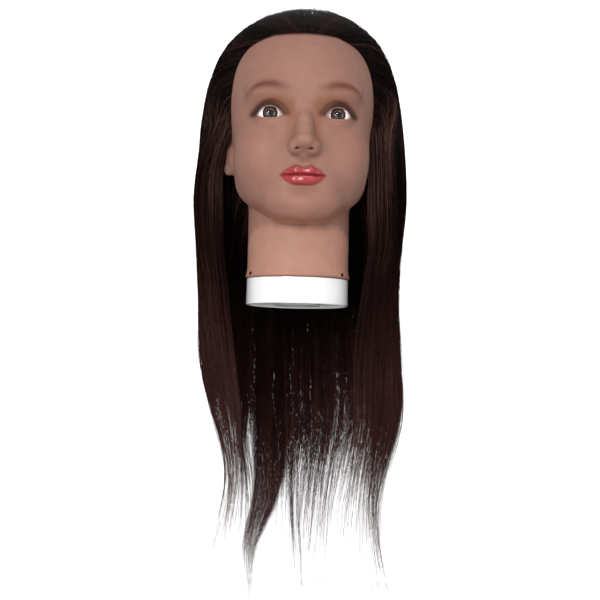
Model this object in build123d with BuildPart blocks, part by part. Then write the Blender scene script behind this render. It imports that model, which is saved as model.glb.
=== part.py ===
"""Mannequin training head for hairdressing practice, in millimetres.

A hollow vinyl head and neck with rooted long hair, inset eyes and a foam core, standing on a
white plastic neck base whose central socket slides over the post of a holding clamp.
The face looks along -Y, +Z is up, and the origin is the middle of the socket's mouth.
"""

from build123d import *

import os
from math import cos, radians, sin, sqrt

GAP = 0.15  # clearance between pieces that are glued or poured against each other

# --- vinyl skin -----------------------------------------------------------------------------
WALL = 3.5  # vinyl thickness
SKIN_EDGE_Z = 26  # lower edge of the vinyl, on the shoulder of the neck base

# Stations of the head and neck: height, front, back, half width, y of the widest point.
HEAD = [
    (76, -88, -54, 15, -71),
    (80, -92, -30, 29, -62),
    (88, -95, 5, 45, -42),
    (100, -94, 36, 57, -20),
    (116, -93, 56, 63.5, -6),
    (138, -93, 74, 66, 2),
    (165, -93.5, 87, 68.5, 7),
    (192, -95, 94.5, 71.5, 10),
    (215, -94, 96.5, 74, 12),
    (235, -89, 94, 72.5, 12),
    (252, -77, 85, 65, 12),
    (266, -57, 69, 51, 11),
    (276, -34, 48, 32, 9),
    (280, -16, 30, 16, 7),
]
NECK = [
    (SKIN_EDGE_Z, -53.5, 53.5, 53.5, 0),
    (34, -52, 52.5, 52, 0),
    (50, -50.5, 52, 50.8, 0),
    (75, -49, 53, 50.2, 1),
    (100, -46, 57, 51, 4),
    (130, -40, 64, 54, 10),
]
NOSE = [
    (186, -96.5, -80, 4, -88),
    (174, -100, -80, 6, -88),
    (162, -107.5, -80, 8.5, -88),
    (153, -114, -80, 12, -90),
    (146, -112, -80, 14.5, -90),
    (140, -98, -80, 12, -88),
]
LIP_HALF_WIDTH = 22
LIPS = [(125.5, -89.5, 6.5), (116, -88.5, 7.5)]  # height, y and radius of each lip's roll

EAR_Y = 15
EAR_Z = 161
EAR_HEIGHT = 61
EAR_WIDTH = 33
EAR_ROOT_X = 60  # inside the side of the head
EAR_RIM_X = 76.5
EAR_TILT = 12

# --- eyes -----------------------------------------------------------------------------------
EYE_X = 32.9
EYE_Y = -68.5  # dome centre, which puts the dome's front just behind the eyelids
EYE_Z = 181.5
EYE_R = 13
EYE_WALL = 3.4
EYE_BACK_Y = -66  # flat rim of the dome
POLES_FORWARD = (90, 0, 0)
IRIS_R = 6
IRIS_T = 0.6
IRIS_DEPTH = 1.4  # front of the iris, behind the front of the dome
LID_HALF_WIDTH = 14
LID_HALF_HEIGHT = 6
LID_REACH = 35  # the cut for the opening, forwards from the dome's centre
SOCKET_Y = -91  # the hollow round the eye, a spindle that the form is scooped with
SOCKET_Z = 182
SOCKET_R = 10
SOCKET_HALF_WIDTH = 19

# --- scalp backing and foam core ------------------------------------------------------------
BACKING_T = 1.5
SCALP_FRONT = (-76, 258)  # y and z where the scalp begins on the forehead
SCALP_NAPE = (62, 108)  # and where it ends on the neck
FOAM_BOTTOM_Z = 62.5

# --- neck base and clamp socket -------------------------------------------------------------
BASE_R = 51
BASE_TOP_R = 50.6
BASE_EDGE = 1.2  # rounding of the foot
BASE_WALL = 2.8
SPIGOT_R = 47.9
SPIGOT_TOP_Z = 62
SPIGOT_CHAMFER = 1.2
FLANGE_R = 23
FLANGE_T = 2  # the socket's flange fills the recess under the base plate
PLATE_T = 3
SOCKET_BORE_R = 16
SOCKET_TUBE_R = 18.5
SOCKET_DEPTH = 92
SOCKET_CAP_T = 3
RIB_COUNT = 8
RIB_T = 2.2
RIB_TOP_Z = 44

# --- pins that hold the vinyl on the spigot --------------------------------------------------
PIN_Z = 30
PIN_SEAT_R = 52.1  # underside of the pin heads, from the neck's axis
PIN_R = 0.9
PIN_HEAD_R = 1.7
PIN_HEAD_T = 0.8
PIN_LENGTH = 9
PIN_ANGLES = [-155, -35, 85]  # round the neck, 0 along +X

# --- hair -----------------------------------------------------------------------------------
HAIR_CLEAR = 0.5  # between the scalp and the hair
HAIR_END_Z = -288
# Stations of the hair's outer surface.
HAIR = [
    (HAIR_END_Z, -15, 84, 72, 40),
    (-200, -12, 94, 82, 40),
    (-120, -8, 104, 94, 40),
    (-40, -8, 108, 101.5, 35),
    (30, -10, 110, 102.5, 30),
    (107, -20, 113, 107, 25),
    (156, -45, 116, 104, 20),
    (190, -75, 116, 100.5, 18),
    (226, -93, 112, 93.5, 15),
    (248, -93, 104, 84.5, 14),
    (266, -80, 92, 72, 12),
    (280, -58, 74, 56, 11),
    (290, -32, 52, 36, 10),
    (294.5, -12, 30, 17, 9),
]
HAIR_JOINS = (5, 8)  # stations where the curtain meets the sides, and the sides meet the crown
# Stations of the free space inside the hanging hair: round the neck and below it.
HAIR_INSIDE = [
    (HAIR_END_Z - 1, -60, 60, 54, 30),
    (-120, -60, 70, 68, 30),
    (-20, -60, 72, 74, 25),
    (60, -60, 70, 76, 20),
    (112, -60, 60, 74, 10),
    (150, -60, 40, 60, 5),
]
CROWN_Z = 216  # the hair of the top lies above, the side and back curtains below
FRINGE_Y = -20  # between the rows along the hairline and the crown
WINDOW_TOP_Z = 247  # the opening in the hair for the face
WINDOW_HALF_WIDTH = 66
WINDOW_CORNER_R = 40
TEMPLE = (-24, 210)  # y and z of the hair's front edge at the temple
EAR_EDGE = (2, 150)  # and above the ear, from where the edge hangs straight down
BACK_SPAN = 38  # degrees that the back curtain reaches either side of +Y
NAPE_T = 12
NAPE_FIRST = 1  # the nape's hair ends at this station of the inside
PART_GAP = 0.4  # between neighbouring sections of hair
FAR = 400  # longer than the whole object


def grown(stations, by):
    """The stations moved outwards by a distance, along the slope of the surface."""
    sizes = [(w + (back - front) / 2) / 2 for z, front, back, w, y in stations]
    moved = []
    for i, (z, front, back, w, y) in enumerate(stations):
        low, high = max(i - 1, 0), min(i + 1, len(stations) - 1)
        slope = (sizes[high] - sizes[low]) / (stations[high][0] - stations[low][0])
        out = by / sqrt(1 + slope**2)
        moved.append((z - slope * out, front - out, back + out, w + out, y))
    return moved


def egg_loft(stations, mode=Mode.ADD):
    """Lofts egg outlines, each made of a front and a back half ellipse."""
    outlines = []
    for z, front, back, w, y in stations:
        with BuildSketch(Plane.XY.offset(z)) as outline:
            with BuildLine():
                EllipticalCenterArc((0, y), w, y - front, start_angle=180, arc_size=180)
                EllipticalCenterArc((0, y), w, back - y, start_angle=0, arc_size=180)
            make_face()
        outlines.append(outline.sketch.face())
    loft(sections=outlines, mode=mode)


def roll(z, y, half_width, radius, x=0, mode=Mode.ADD):
    """A spindle lying along X, as of a lip or an eye socket."""
    with BuildSketch(Plane.XY.offset(z)) as profile:
        with BuildLine():
            EllipticalCenterArc((x, y), half_width, radius, start_angle=0, arc_size=180)
            Line((x - half_width, y), (x + half_width, y))
        make_face()
    revolve(profile.sketch, axis=Axis((x, y, z), (1, 0, 0)), mode=mode)


def ear(side, by):
    """A plain oval slab standing out of the side of the head."""
    with BuildSketch(Plane.YZ.offset(side * EAR_ROOT_X)) as outline:
        with Locations(Location((EAR_Y, EAR_Z), EAR_TILT)):
            Ellipse(EAR_WIDTH / 2 + by, EAR_HEIGHT / 2 + by)
    extrude(outline.sketch, amount=side * (EAR_RIM_X + by - EAR_ROOT_X))


def head_form(by=0.0, features=False):
    """The head and neck as one solid, its surface moved outwards by a distance."""
    with BuildPart() as form:
        egg_loft(grown(HEAD, by))
        egg_loft(grown(NECK, by))
        if features:
            egg_loft(grown(NOSE, by))
            for z, y, radius in LIPS:
                roll(z, y, LIP_HALF_WIDTH + by, radius + by)
            for side in (-1, 1):
                ear(side, by)
        for side in (-1, 1):
            roll(
                SOCKET_Z,
                SOCKET_Y - by / 2,
                SOCKET_HALF_WIDTH - by,
                SOCKET_R - by,
                x=side * EYE_X,
                mode=Mode.SUBTRACT,
            )
    return form.part


def drive_pins(mode=Mode.ADD):
    """Round-headed pins, driven through the vinyl's lower edge into the spigot."""
    for angle in PIN_ANGLES:
        outwards = Vector(cos(radians(angle)), sin(radians(angle)), 0)
        seat = Plane(origin=outwards * PIN_SEAT_R + Vector(0, 0, PIN_Z), z_dir=outwards)
        with BuildSketch(seat) as shank:
            Circle(PIN_R)
        extrude(shank.sketch, amount=-PIN_LENGTH, mode=mode)
        with BuildSketch(seat) as head:
            Circle(PIN_HEAD_R)
        extrude(head.sketch, amount=PIN_HEAD_T, mode=mode)


def keep(part, label):
    part.label = label
    export_step(part, f"parts/{label}.step")


os.makedirs("parts", exist_ok=True)

# Forms that several pieces share.
outer_form = head_form(features=True)
skin_inside = head_form(-WALL)
backing_outside = head_form(-WALL - GAP)
backing_inside = head_form(-WALL - GAP - BACKING_T)
foam_outside = head_form(-WALL - BACKING_T - 2 * GAP)
scalp_clearance = head_form(HAIR_CLEAR, features=True)

# The vinyl skin: the outer form less the inside, open at the neck and at the eyes.
with BuildPart() as vinyl_skin:
    add(outer_form)
    add(skin_inside, mode=Mode.SUBTRACT)
    with Locations((0, 0, SKIN_EDGE_Z)):
        Cylinder(
            SPIGOT_R + GAP,
            SPIGOT_TOP_Z - SKIN_EDGE_Z,
            align=(Align.CENTER, Align.CENTER, Align.MIN),
            mode=Mode.SUBTRACT,
        )
    for side in (-1, 1):
        with Locations((side * EYE_X, EYE_Y, EYE_Z)):
            Sphere(EYE_R + GAP, rotation=POLES_FORWARD, mode=Mode.SUBTRACT)
        with BuildSketch(Plane.XZ.offset(-EYE_Y)):
            with Locations((side * EYE_X, EYE_Z)):
                Ellipse(LID_HALF_WIDTH, LID_HALF_HEIGHT)
        extrude(amount=LID_REACH, mode=Mode.SUBTRACT)
    drive_pins(Mode.SUBTRACT)
keep(vinyl_skin.part, "vinyl_skin")

# Latex and glue brushed on the inside of the scalp, which lock the hair's roots.
scalp_plane = Plane(
    origin=(0, *SCALP_FRONT),
    x_dir=(1, 0, 0),
    z_dir=(0, SCALP_FRONT[1] - SCALP_NAPE[1], SCALP_NAPE[0] - SCALP_FRONT[0]),
)
with BuildPart() as scalp_backing:
    add(backing_outside)
    add(backing_inside, mode=Mode.SUBTRACT)
    split(bisect_by=scalp_plane, keep=Keep.TOP)
keep(scalp_backing.part, "scalp_backing")

# The foam that fills the head, poured round the eyes and the clamp socket.
with BuildPart() as foam_core:
    add(foam_outside)
    split(bisect_by=Plane.XY.offset(FOAM_BOTTOM_Z), keep=Keep.TOP)
    with Locations((0, 0, FOAM_BOTTOM_Z)):
        Cylinder(
            SOCKET_TUBE_R + GAP,
            SOCKET_DEPTH + SOCKET_CAP_T + GAP - FOAM_BOTTOM_Z,
            align=(Align.CENTER, Align.CENTER, Align.MIN),
            mode=Mode.SUBTRACT,
        )
    for side in (-1, 1):
        with Locations((side * EYE_X, EYE_Y, EYE_Z)):
            Sphere(EYE_R + GAP, rotation=POLES_FORWARD, mode=Mode.SUBTRACT)
keep(foam_core.part, "foam_core")

# The neck base: a white moulded cup with a skirt, a spigot for the vinyl, a plate and ribs.
with BuildPart() as neck_base:
    with BuildSketch(Plane.XZ):
        with BuildLine():
            Polyline(
                (BASE_R - BASE_WALL, 0),
                (BASE_R, 0),
                (BASE_TOP_R, SKIN_EDGE_Z - GAP),
                (SPIGOT_R, SKIN_EDGE_Z - GAP),
                (SPIGOT_R, SPIGOT_TOP_Z),
                (SPIGOT_R - BASE_WALL, SPIGOT_TOP_Z),
                (SPIGOT_R - BASE_WALL, FLANGE_T + PLATE_T),
                (SOCKET_TUBE_R + GAP, FLANGE_T + PLATE_T),
                (SOCKET_TUBE_R + GAP, FLANGE_T),
                (BASE_R - BASE_WALL, FLANGE_T),
                close=True,
            )
        make_face()
    revolve(axis=Axis.Z)
    foot = neck_base.edges().filter_by(GeomType.CIRCLE).group_by(Axis.Z)[0]
    fillet(foot.sort_by(SortBy.RADIUS)[-1], BASE_EDGE)
    spigot_top = neck_base.edges().filter_by(GeomType.CIRCLE).group_by(Axis.Z)[-1]
    chamfer(spigot_top.sort_by(SortBy.RADIUS)[-1], SPIGOT_CHAMFER)
    rib_run = SPIGOT_R - BASE_WALL - SOCKET_TUBE_R
    with BuildSketch(Plane.XY.offset(FLANGE_T + PLATE_T)):
        with PolarLocations(SOCKET_TUBE_R + GAP + rib_run / 2, RIB_COUNT):
            Rectangle(rib_run, RIB_T)
    extrude(amount=RIB_TOP_Z - FLANGE_T - PLATE_T)
    drive_pins(Mode.SUBTRACT)
keep(neck_base.part, "neck_base")

# The socket that the clamp's post slides into: a flanged tube closed at the top.
with BuildPart() as post_socket:
    Cylinder(FLANGE_R, FLANGE_T - GAP, align=(Align.CENTER, Align.CENTER, Align.MIN))
    Cylinder(
        SOCKET_TUBE_R,
        SOCKET_DEPTH + SOCKET_CAP_T,
        align=(Align.CENTER, Align.CENTER, Align.MIN),
    )
    Cylinder(
        SOCKET_BORE_R,
        SOCKET_DEPTH,
        align=(Align.CENTER, Align.CENTER, Align.MIN),
        mode=Mode.SUBTRACT,
    )
keep(post_socket.part, "post_socket")

with BuildPart() as neck_pins:
    drive_pins()
keep(neck_pins.part, "neck_pins")

# The eyes: a white dome, an iris in its pocket, and a clear lens over the iris.
iris_back = Plane.XZ.offset(EYE_R - IRIS_DEPTH - IRIS_T - EYE_Y)
iris_front = iris_back.offset(IRIS_T)
for side, name in ((-1, "right"), (1, "left")):
    centre = (side * EYE_X, EYE_Y, EYE_Z)
    with BuildPart() as eye_white:
        with Locations(centre):
            Sphere(EYE_R, rotation=POLES_FORWARD)
            Sphere(EYE_R - EYE_WALL, rotation=POLES_FORWARD, mode=Mode.SUBTRACT)
        split(bisect_by=Plane.XZ.offset(-EYE_BACK_Y), keep=Keep.TOP)
        with BuildSketch(iris_back):
            with Locations((centre[0], EYE_Z)):
                Circle(IRIS_R + GAP)
        extrude(amount=EYE_R, mode=Mode.SUBTRACT)
    keep(eye_white.part, f"{name}_eye_white")

    with BuildPart() as iris:
        with BuildSketch(iris_back):
            with Locations((centre[0], EYE_Z)):
                Circle(IRIS_R)
        extrude(amount=IRIS_T)
    keep(iris.part, f"{name}_iris")

    with BuildPart() as lens:
        with Locations(centre):
            Sphere(EYE_R, rotation=POLES_FORWARD)
        with BuildSketch(iris_front):
            with Locations((centre[0], EYE_Z)):
                Circle(IRIS_R)
        extrude(amount=EYE_R, mode=Mode.INTERSECT)
    keep(lens.part, f"{name}_eye_lens")

# The whole mass of hair, from which its sections are cut.
with BuildPart() as hair:
    egg_loft(HAIR[: HAIR_JOINS[0] + 1])
    egg_loft(HAIR[HAIR_JOINS[0] : HAIR_JOINS[1] + 1])
    egg_loft(HAIR[HAIR_JOINS[1] :])
    add(scalp_clearance, mode=Mode.SUBTRACT)
    egg_loft(HAIR_INSIDE, mode=Mode.SUBTRACT)
    with BuildSketch(Plane.YZ.offset(-FAR / 2)):
        with BuildLine():
            Polyline(
                (-FAR, HAIR_END_Z - 1),
                (EAR_EDGE[0], HAIR_END_Z - 1),
                EAR_EDGE,
                TEMPLE,
                (-FAR, TEMPLE[1]),
                close=True,
            )
        make_face()
    extrude(amount=FAR, mode=Mode.SUBTRACT)
    with BuildSketch(Plane.XZ.offset(-EAR_EDGE[0])):
        with Locations((0, WINDOW_TOP_Z)):
            RectangleRounded(
                2 * WINDOW_HALF_WIDTH,
                FAR,
                WINDOW_CORNER_R,
                align=(Align.CENTER, Align.MAX),
            )
    extrude(amount=FAR, mode=Mode.SUBTRACT)

crown_parting = Plane.XY.offset(CROWN_Z)
fringe_parting = Plane.XZ.offset(-FRINGE_Y)  # its normal points forwards
middle_parting = Plane.YZ


def back_parting(side):
    """The upright plane between the back curtain and one side, its normal into the back."""
    angle = radians(BACK_SPAN)
    return Plane(origin=(0, 0, 0), z_dir=(-side * cos(angle), sin(angle), 0))


def section(above=(), below=()):
    """The part of the hair above some partings and below others."""
    with BuildPart() as piece:
        add(hair.part)
        for parting in above:
            split(bisect_by=parting.offset(PART_GAP / 2), keep=Keep.TOP)
        for parting in below:
            split(bisect_by=parting.offset(-PART_GAP / 2), keep=Keep.BOTTOM)
    return piece.part


keep(section(above=(crown_parting, fringe_parting)), "hair_fringe")
keep(section((crown_parting, middle_parting), (fringe_parting,)), "hair_crown_left")
keep(section((crown_parting,), (fringe_parting, middle_parting)), "hair_crown_right")
keep(section((middle_parting,), (crown_parting, back_parting(1))), "hair_side_left")
keep(section((), (crown_parting, back_parting(-1), middle_parting)), "hair_side_right")
back = section((back_parting(-1), back_parting(1)), (crown_parting,))

# The nape's shorter hair hangs under the back curtain.
with BuildPart() as hair_back:
    add(back)
    egg_loft(grown(HAIR_INSIDE, NAPE_T + PART_GAP)[NAPE_FIRST:], mode=Mode.SUBTRACT)
keep(hair_back.part, "hair_back")
with BuildPart() as hair_nape:
    add(back)
    egg_loft(grown(HAIR_INSIDE, NAPE_T)[NAPE_FIRST:], mode=Mode.INTERSECT)
keep(hair_nape.part, "hair_nape")
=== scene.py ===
"""The looks of the mannequin training head: sculpted vinyl, inset eyes and strands of hair.

Lengths are in millimetres while a shape is worked out, and become metres in its mesh. The face
looks along -Y, +Z is up, and the head's own left is +X.
"""

import math

import bpy
import numpy as np
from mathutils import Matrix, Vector


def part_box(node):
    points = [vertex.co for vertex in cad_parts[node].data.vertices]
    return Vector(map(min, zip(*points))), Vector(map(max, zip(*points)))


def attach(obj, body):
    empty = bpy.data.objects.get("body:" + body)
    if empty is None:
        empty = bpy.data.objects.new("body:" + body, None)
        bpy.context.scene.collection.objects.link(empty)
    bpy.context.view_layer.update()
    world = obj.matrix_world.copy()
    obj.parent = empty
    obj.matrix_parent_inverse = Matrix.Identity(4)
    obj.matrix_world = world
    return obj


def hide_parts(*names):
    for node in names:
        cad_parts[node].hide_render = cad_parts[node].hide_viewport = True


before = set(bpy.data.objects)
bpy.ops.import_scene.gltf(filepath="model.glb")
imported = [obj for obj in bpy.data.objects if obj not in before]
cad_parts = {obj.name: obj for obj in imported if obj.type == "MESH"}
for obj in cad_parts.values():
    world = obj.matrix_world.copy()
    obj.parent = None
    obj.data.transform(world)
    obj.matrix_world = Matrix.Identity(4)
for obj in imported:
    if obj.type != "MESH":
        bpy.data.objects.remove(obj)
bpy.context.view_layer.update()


MM = 0.001
random = np.random.default_rng(20)


def cad_mm(node):
    """A CAD node's lowest and highest corners, in millimetres."""
    low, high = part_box(node)
    return np.array(low) / MM, np.array(high) / MM


# ---------------------------------------------------------------------------- camera and stage

CAMERA_DISTANCE = 2.0
CAMERA_Z = -0.11
CAMERA_TURN = math.radians(2.1)  # round the object, towards its right
CAMERA_ROLL = math.radians(1.3)
AIM_SIDE = 0.003  # how far the camera's aim lies to the side of the axis
AIM = Vector((AIM_SIDE * math.cos(CAMERA_TURN), -AIM_SIDE * math.sin(CAMERA_TURN), 0.006))
FRAME_WIDTH = 0.6
SENSOR = 36.0
FLOOR_Z = -0.33
FLOOR_R = 0.72  # small enough to leave no horizon behind the hair
SURROUND_R = 14
WHITE = (1, 1, 1, 1)


def placed(name, data):
    """A new object in the scene."""
    made = bpy.data.objects.new(name, data)
    bpy.context.scene.collection.objects.link(made)
    return made


def add_camera():
    data = bpy.data.cameras.new("camera")
    data.sensor_width = SENSOR
    data.clip_end = 50
    away = Vector((-math.sin(CAMERA_TURN), -math.cos(CAMERA_TURN), 0)) * CAMERA_DISTANCE
    place = Vector((AIM.x, AIM.y, CAMERA_Z)) + away
    data.lens = SENSOR * (AIM - place).length / FRAME_WIDTH
    camera = placed("camera", data)
    camera.location = place
    turn = (AIM - place).to_track_quat("-Z", "Y")
    camera.rotation_euler = turn.to_euler()
    camera.rotation_euler.rotate_axis("Z", CAMERA_ROLL)
    bpy.context.scene.camera = camera


def add_light(name, place, size, watts):
    data = bpy.data.lights.new(name, "AREA")
    data.shape = "DISK"
    data.size = size
    data.energy = watts
    light = placed(name, data)
    light.location = place
    light.rotation_euler = (Vector((0, 0, 0.1)) - light.location).to_track_quat("-Z", "Y").to_euler()


def add_world():
    world = bpy.data.worlds.new("studio")
    world.use_nodes = True
    background = world.node_tree.nodes["Background"]
    background.inputs["Color"].default_value = (1, 1, 1, 1)
    background.inputs["Strength"].default_value = 0.45
    bpy.context.scene.world = world


class Material:
    """A node material round one Principled BSDF."""

    def __init__(self, name, **settings):
        self.data = bpy.data.materials.new(name)
        self.data.use_nodes = True
        self.tree = self.data.node_tree
        self.surface = self.tree.nodes["Principled BSDF"]
        for key, value in settings.items():
            self.surface.inputs[key.replace("_", " ")].default_value = value

    def add(self, kind, inputs=None, **settings):
        """Adds a node; inputs maps socket names or numbers to values or to other sockets."""
        made = self.tree.nodes.new(kind)
        for key, value in settings.items():
            setattr(made, key, value)
        for key, value in (inputs or {}).items():
            self.feed(made.inputs[key], value)
        return made

    def feed(self, socket, value):
        if isinstance(value, bpy.types.NodeSocket):
            self.tree.links.new(value, socket)
        else:
            socket.default_value = value

    def set(self, key, value):
        self.feed(self.surface.inputs[key], value)

    def math(self, operation, a, b=0.0, c=0.0, clamp=False):
        made = self.add("ShaderNodeMath", {0: a, 1: b, 2: c}, operation=operation, use_clamp=clamp)
        return made.outputs[0]

    def noise(self, scale, detail=3.0, vector=None, roughness=0.5):
        inputs = {"Scale": scale, "Detail": detail, "Roughness": roughness}
        if vector is not None:
            inputs["Vector"] = vector
        return self.add("ShaderNodeTexNoise", inputs).outputs["Fac"]

    def place(self):
        return self.add("ShaderNodeTexCoord").outputs["Object"]

    def ramp(self, factor, *stops):
        made = self.add("ShaderNodeValToRGB", {"Fac": factor})
        ramp = made.color_ramp
        while len(ramp.elements) < len(stops):
            ramp.elements.new(0.5)
        for element, (position, colour) in zip(ramp.elements, stops):
            element.position = position
            element.color = (*colour, 1)
        return made.outputs["Color"]

    def mix(self, factor, a, b, blend="MIX"):
        made = self.add("ShaderNodeMix", data_type="RGBA", blend_type=blend)
        self.feed(made.inputs[0], factor)
        self.feed(made.inputs[6], a)
        self.feed(made.inputs[7], b)
        return made.outputs[2]

    def mottle(self, noise, low, high):
        """The base colour wanders between two tones with a noise."""
        self.set("Base Color", self.ramp(noise, (0.3, low), (0.7, high)))

    def bump(self, height, distance, strength=1.0):
        inputs = {"Height": height, "Distance": distance, "Strength": strength}
        self.set("Normal", self.add("ShaderNodeBump", inputs).outputs["Normal"])


def add_stage():
    """A pale floor and a white surround, which show behind the object but don't light it."""
    pale = Material("studio_floor", Roughness=0.9, Emission_Color=WHITE, Emission_Strength=0.6)
    pale.mottle(pale.noise(3.0), (0.90, 0.90, 0.90), (0.93, 0.93, 0.93))
    bpy.ops.mesh.primitive_circle_add(
        vertices=96, radius=FLOOR_R, fill_type="NGON", location=(0, 0, FLOOR_Z)
    )
    floor = bpy.context.object
    floor.name = "floor"
    white = Material(
        "studio_surround",
        Base_Color=(0.9, 0.9, 0.9, 1), Roughness=1.0, Emission_Color=WHITE, Emission_Strength=1.0,
    )
    bpy.ops.mesh.primitive_uv_sphere_add(radius=SURROUND_R, location=(0, 0, 0))
    surround = bpy.context.object
    surround.name = "surround"
    for item, material in ((floor, pale), (surround, white)):
        item.data.materials.append(material.data)
        item.visible_diffuse = item.visible_glossy = False
        item.visible_transmission = item.visible_shadow = False


add_camera()
add_world()
add_light("key", (-0.95, -2.1, 0.2), 0.8, 18)
add_light("sparkle", (-0.45, -2.2, 0.6), 0.32, 9)
add_light("low", (-0.3, -1.9, -0.5), 0.9, 5)
add_light("top", (0.2, -1.3, 1.6), 1.2, 8)
add_light("fill", (1.5, -1.7, 0.1), 1.0, 6)
add_light("rim_left", (-1.2, 1.8, 0.7), 0.6, 0.4)
add_light("rim_right", (1.3, 1.8, 0.7), 0.6, 0.4)
add_stage()
bpy.context.scene.view_settings.view_transform = "Standard"


# --------------------------------------------------------------------------- distance fields
# A field gives, for an array of points, roughly the distance to a surface, negative inside.


def ellipsoid(p, centre, radii):
    q = (p - np.array(centre, np.float32)) / np.array(radii, np.float32)
    near = np.sqrt((q * q).sum(-1)) + 1e-6
    q /= np.array(radii, np.float32)
    return near * (near - 1) / (np.sqrt((q * q).sum(-1)) + 1e-6)


def limb(p, start, end, r_start, r_end):
    """A rounded limb between two points, its radius changing evenly."""
    start, end = np.array(start, np.float32), np.array(end, np.float32)
    along = end - start
    t = np.clip((p - start) @ along / (along @ along), 0, 1)
    gap = p - start - t[..., None] * along
    return np.sqrt((gap * gap).sum(-1)) - (r_start + (r_end - r_start) * t)


def chain(p, points, radii, blend):
    """Limbs one after another along a bent line."""
    field = limb(p, points[0], points[1], radii[0], radii[1])
    for i in range(1, len(points) - 1):
        field = join(field, limb(p, points[i], points[i + 1], radii[i], radii[i + 1]), blend)
    return field


def join(a, b, blend):
    h = np.clip(0.5 + 0.5 * (b - a) / blend, 0, 1)
    return b + (a - b) * h - blend * h * (1 - h)


def cut(a, b, blend):
    return -join(-a, b, blend)


def step(low, high, value):
    """Rises smoothly from 0 to 1 as the value goes from low to high."""
    t = np.clip((value - low) / (high - low), 0, 1)
    return t * t * (3 - 2 * t)


def bell(value, width):
    return np.exp(-((value / width) ** 2))


# --------------------------------------------------------------------------------- the head

eye_low, eye_high = cad_mm("left_eye_white")
EYE_R = (eye_high[2] - eye_low[2]) / 2
EYE_FRONT = cad_mm("left_eye_lens")[0][1]
EYE = np.array([(eye_low[0] + eye_high[0]) / 2, EYE_FRONT + EYE_R, (eye_low[2] + eye_high[2]) / 2])
SKIN_EDGE_Z = cad_mm("vinyl_skin")[0][2]
SPIGOT_TOP_Z = cad_mm("neck_base")[1][2]
SPIGOT_R = 48.05  # leaves the vinyl a wall of about 2 mm round the base's spigot
LID_CORNER = (EYE[0], EYE[2] - 2.1)
LID_HALF_WIDTH = 12.0
LID_RISE = 8.2
LID_DROP = 2.9
MOUTH_Z = 121.0
MOUTH_HALF_WIDTH = 22.0


def mirrored(p):
    """The points with x folded onto the positive side, rounded where the halves meet."""
    folded = p.copy()
    folded[..., 0] = np.sqrt(p[..., 0] ** 2 + 1.5) - 0.3
    return folded


def scalp_field(p):
    """The plain head, without the face's features."""
    field = ellipsoid(p, (0, 3, 198), (74.5, 92, 86))
    field = join(field, ellipsoid(p, (0, 8, 222), (69.5, 78, 62)), 14)
    field = join(field, ellipsoid(p, (0, -26, 210), (61.5, 69, 61)), 14)
    return join(field, ellipsoid(p, (0, -20, 158), (63, 71, 74)), 14)


def almond(p):
    """Distance from an eye's opening, seen from the front: two arcs through the corners."""
    u = p[..., 0] - LID_CORNER[0]
    v = p[..., 2] - LID_CORNER[1]
    upper_r = (LID_HALF_WIDTH**2 + LID_RISE**2) / (2 * LID_RISE)
    lower_r = (LID_HALF_WIDTH**2 + LID_DROP**2) / (2 * LID_DROP)
    upper = np.hypot(u, v + upper_r - LID_RISE) - upper_r
    lower = np.hypot(u, v - lower_r + LID_DROP) - lower_r
    return np.maximum(upper, lower)


def ear_field(m):
    """A whole ear: plate, rim, inner fold, hollow, tragus and lobe."""
    tilt, flare = math.radians(12), math.radians(24)
    q = m - np.array([73.5, 13, 160], np.float32)
    y = q[..., 1] * math.cos(tilt) - q[..., 2] * math.sin(tilt)
    v = q[..., 1] * math.sin(tilt) + q[..., 2] * math.cos(tilt)
    u = y * math.cos(flare) + q[..., 0] * math.sin(flare)
    w = q[..., 0] * math.cos(flare) - y * math.sin(flare)
    e = np.stack([u, v, w], -1)
    field = ellipsoid(e, (0, 1, -2), (16, 28, 4.2))
    ring = np.abs(np.sqrt((u / 14.5) ** 2 + ((v - 2) / 26.5) ** 2) - 1) * 17
    rim = np.hypot(ring, w - 2.0) - 2.3
    rim = np.maximum(rim, -v - 17)
    field = join(field, rim, 2.5)
    fold = chain(e, [(2, -14, 1), (7.5, -4, 2), (6, 8, 2), (1, 17, 1)], [2, 2.6, 2.4, 1.6], 1.5)
    field = join(field, fold, 2)
    field = cut(field, ellipsoid(e, (-3.5, -5, 4), (7, 10.5, 6.5)), 2.5)
    field = join(field, ellipsoid(e, (-11, -7, 1.5), (4, 6, 3.5)), 2.5)
    return join(field, ellipsoid(e, (-4.5, -23, -1), (8.2, 8.6, 4.4)), 3)


def nose_field(p, m):
    field = chain(
        p,
        [(0, -88, 187), (0, -94.5, 174), (0, -101, 162), (0, -103.8, 153.8)],
        [4.6, 4.2, 5.6, 7.9],
        4,
    )
    field = join(field, ellipsoid(p, (0, -87, 158), (11.5, 14, 25)), 9)
    field = join(field, ellipsoid(m, (2.8, -105.4, 152.4), (5.8, 6.6, 5.8)), 3)
    field = join(field, ellipsoid(m, (9.4, -96.4, 147.2), (6.2, 9.4, 7.6)), 6)
    field = join(field, limb(p, (0, -103, 149.5), (0, -94, 144.5), 3.0, 3.6), 3)
    field = cut(field, limb(m, (6.9, -105, 143.0), (5.4, -98, 149.4), 2.2, 1.7), 2.0)
    return field


def lips_field(p, m):
    upper = chain(
        m,
        [(0, -91.2, 124.2), (6.5, -91.4, 125.2), (14, -87.6, 123.4), (21.3, -82.2, 121)],
        [4.3, 4.6, 3.6, 1.6],
        2,
    )
    lower = chain(
        m,
        [(0, -90.6, 116.6), (8, -89.6, 116.8), (15, -86.2, 118.4), (21, -82.2, 120.4)],
        [5.4, 5.2, 3.6, 1.4],
        2,
    )
    return join(upper, lower, 0.8)


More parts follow.
